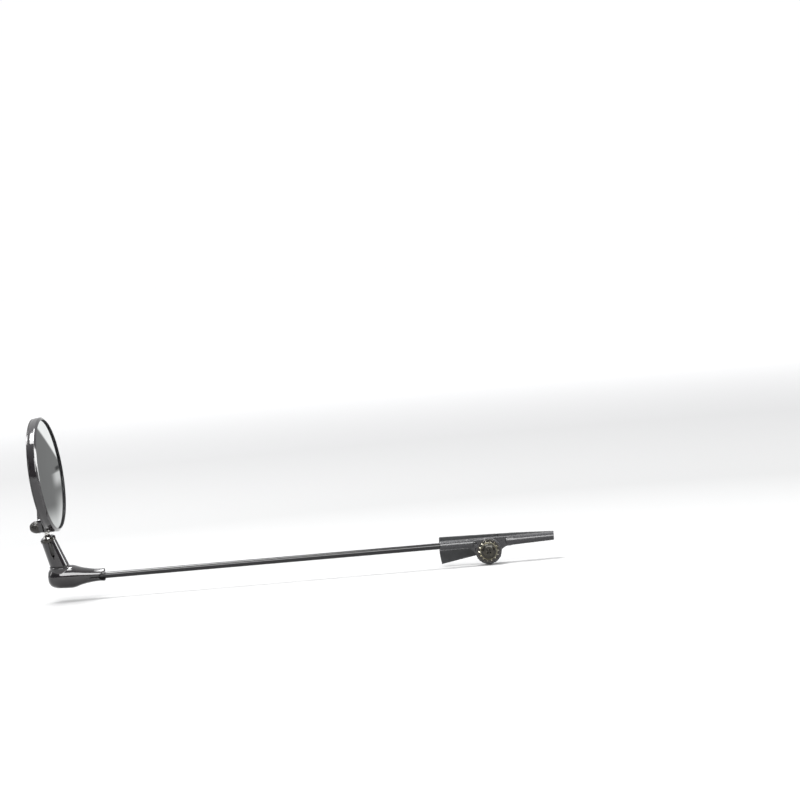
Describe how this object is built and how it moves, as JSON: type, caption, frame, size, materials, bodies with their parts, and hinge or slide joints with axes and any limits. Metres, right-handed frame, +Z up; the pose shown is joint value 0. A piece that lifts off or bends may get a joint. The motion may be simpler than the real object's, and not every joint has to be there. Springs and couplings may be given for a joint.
{
  "type": "helmet mirror",
  "caption": "Round rear-view mirror for a cycling helmet: spring clip, pivoting thin rod, elbow and swivelling ball-jointed mirror head.",
  "frame": {"origin": "centre of the clip's closed grip faces, where the helmet's rim is held", "axes": "+X along the rod from the clip towards the mirror, +Y outward from the helmet, +Z up"},
  "size_m": [0.2607, 0.0577, 0.0928],
  "materials": {
    "clip_plastic": "satin",
    "gloss_black": "gloss",
    "rod_paint": "gloss",
    "black_screw": "satin",
    "zinc_steel": "satin",
    "spring_steel": "satin",
    "bright_steel": "polished",
    "acetal": "matte",
    "grip_rubber": "matte",
    "foam": "matte",
    "mirror_glass": "mirror"
  },
  "bodies": {
    "clip": {"outer_jaw": "clip_plastic", "outer_grip_pad": "grip_rubber", "jaw_pin": "spring_steel", "jaw_spring": "spring_steel", "pivot_screw": "black_screw", "pivot_washer": "black_screw", "lock_washer": "zinc_steel", "friction_disc": "acetal", "pivot_nut": "zinc_steel"},
    "inner_jaw": {"inner_jaw": "clip_plastic", "inner_grip_pad": "grip_rubber"},
    "arm": {"rod_holder": "clip_plastic", "arm_rod": "rod_paint"},
    "elbow": {"elbow_body": "gloss_black"},
    "stem": {"stem_barrel": "gloss_black", "socket_collar": "black_screw", "ball_seat": "acetal", "elbow_screw": "zinc_steel", "stem_washer": "acetal"},
    "stud": {"ball_stud": "bright_steel"},
    "head": {"rear_shell": "gloss_black", "front_bezel": "gloss_black", "mirror_lens": "mirror_glass", "lens_pad": "foam", "clamp_screw": "black_screw", "clamp_washer": "black_screw"}
  },
  "joints": [
    {"name": "clip_open", "type": "hinge", "parent": "clip", "child": "inner_jaw", "pos_m": [0.0195, -0.0009, 0], "axis": [0, 0, 1], "range_deg": [0, 16], "stiffness_Nm_per_rad": 0.18, "springref_deg": -31.51, "deforming": ["jaw_spring"]},
    {"name": "arm_pivot", "type": "hinge", "parent": "clip", "child": "arm", "pos_m": [0.0241, 0.0063, -0.0044], "axis": [0, 1, 0], "range_deg": [-90, 90]},
    {"name": "elbow_twist", "type": "hinge", "parent": "arm", "child": "elbow", "pos_m": [0.2366, 0.0063, 0], "axis": [1, 0, 0], "continuous": true},
    {"name": "stem_swivel", "type": "hinge", "parent": "elbow", "child": "stem", "pos_m": [0.2386, 0.0063, 0], "axis": [0, 0.1736, 0.9848], "continuous": true},
    {"name": "ball_tilt", "type": "hinge", "parent": "stem", "child": "stud", "pos_m": [0.24305, 0.00995, 0.02071], "axis": [0.6235, -0.7798, -0.0567], "range_deg": [-46, 13]},
    {"name": "head_spin", "type": "hinge", "parent": "stud", "child": "head", "pos_m": [0.24305, 0.00995, 0.02071], "axis": [0.0778, -0.0102, 0.9969], "continuous": true}
  ]
}
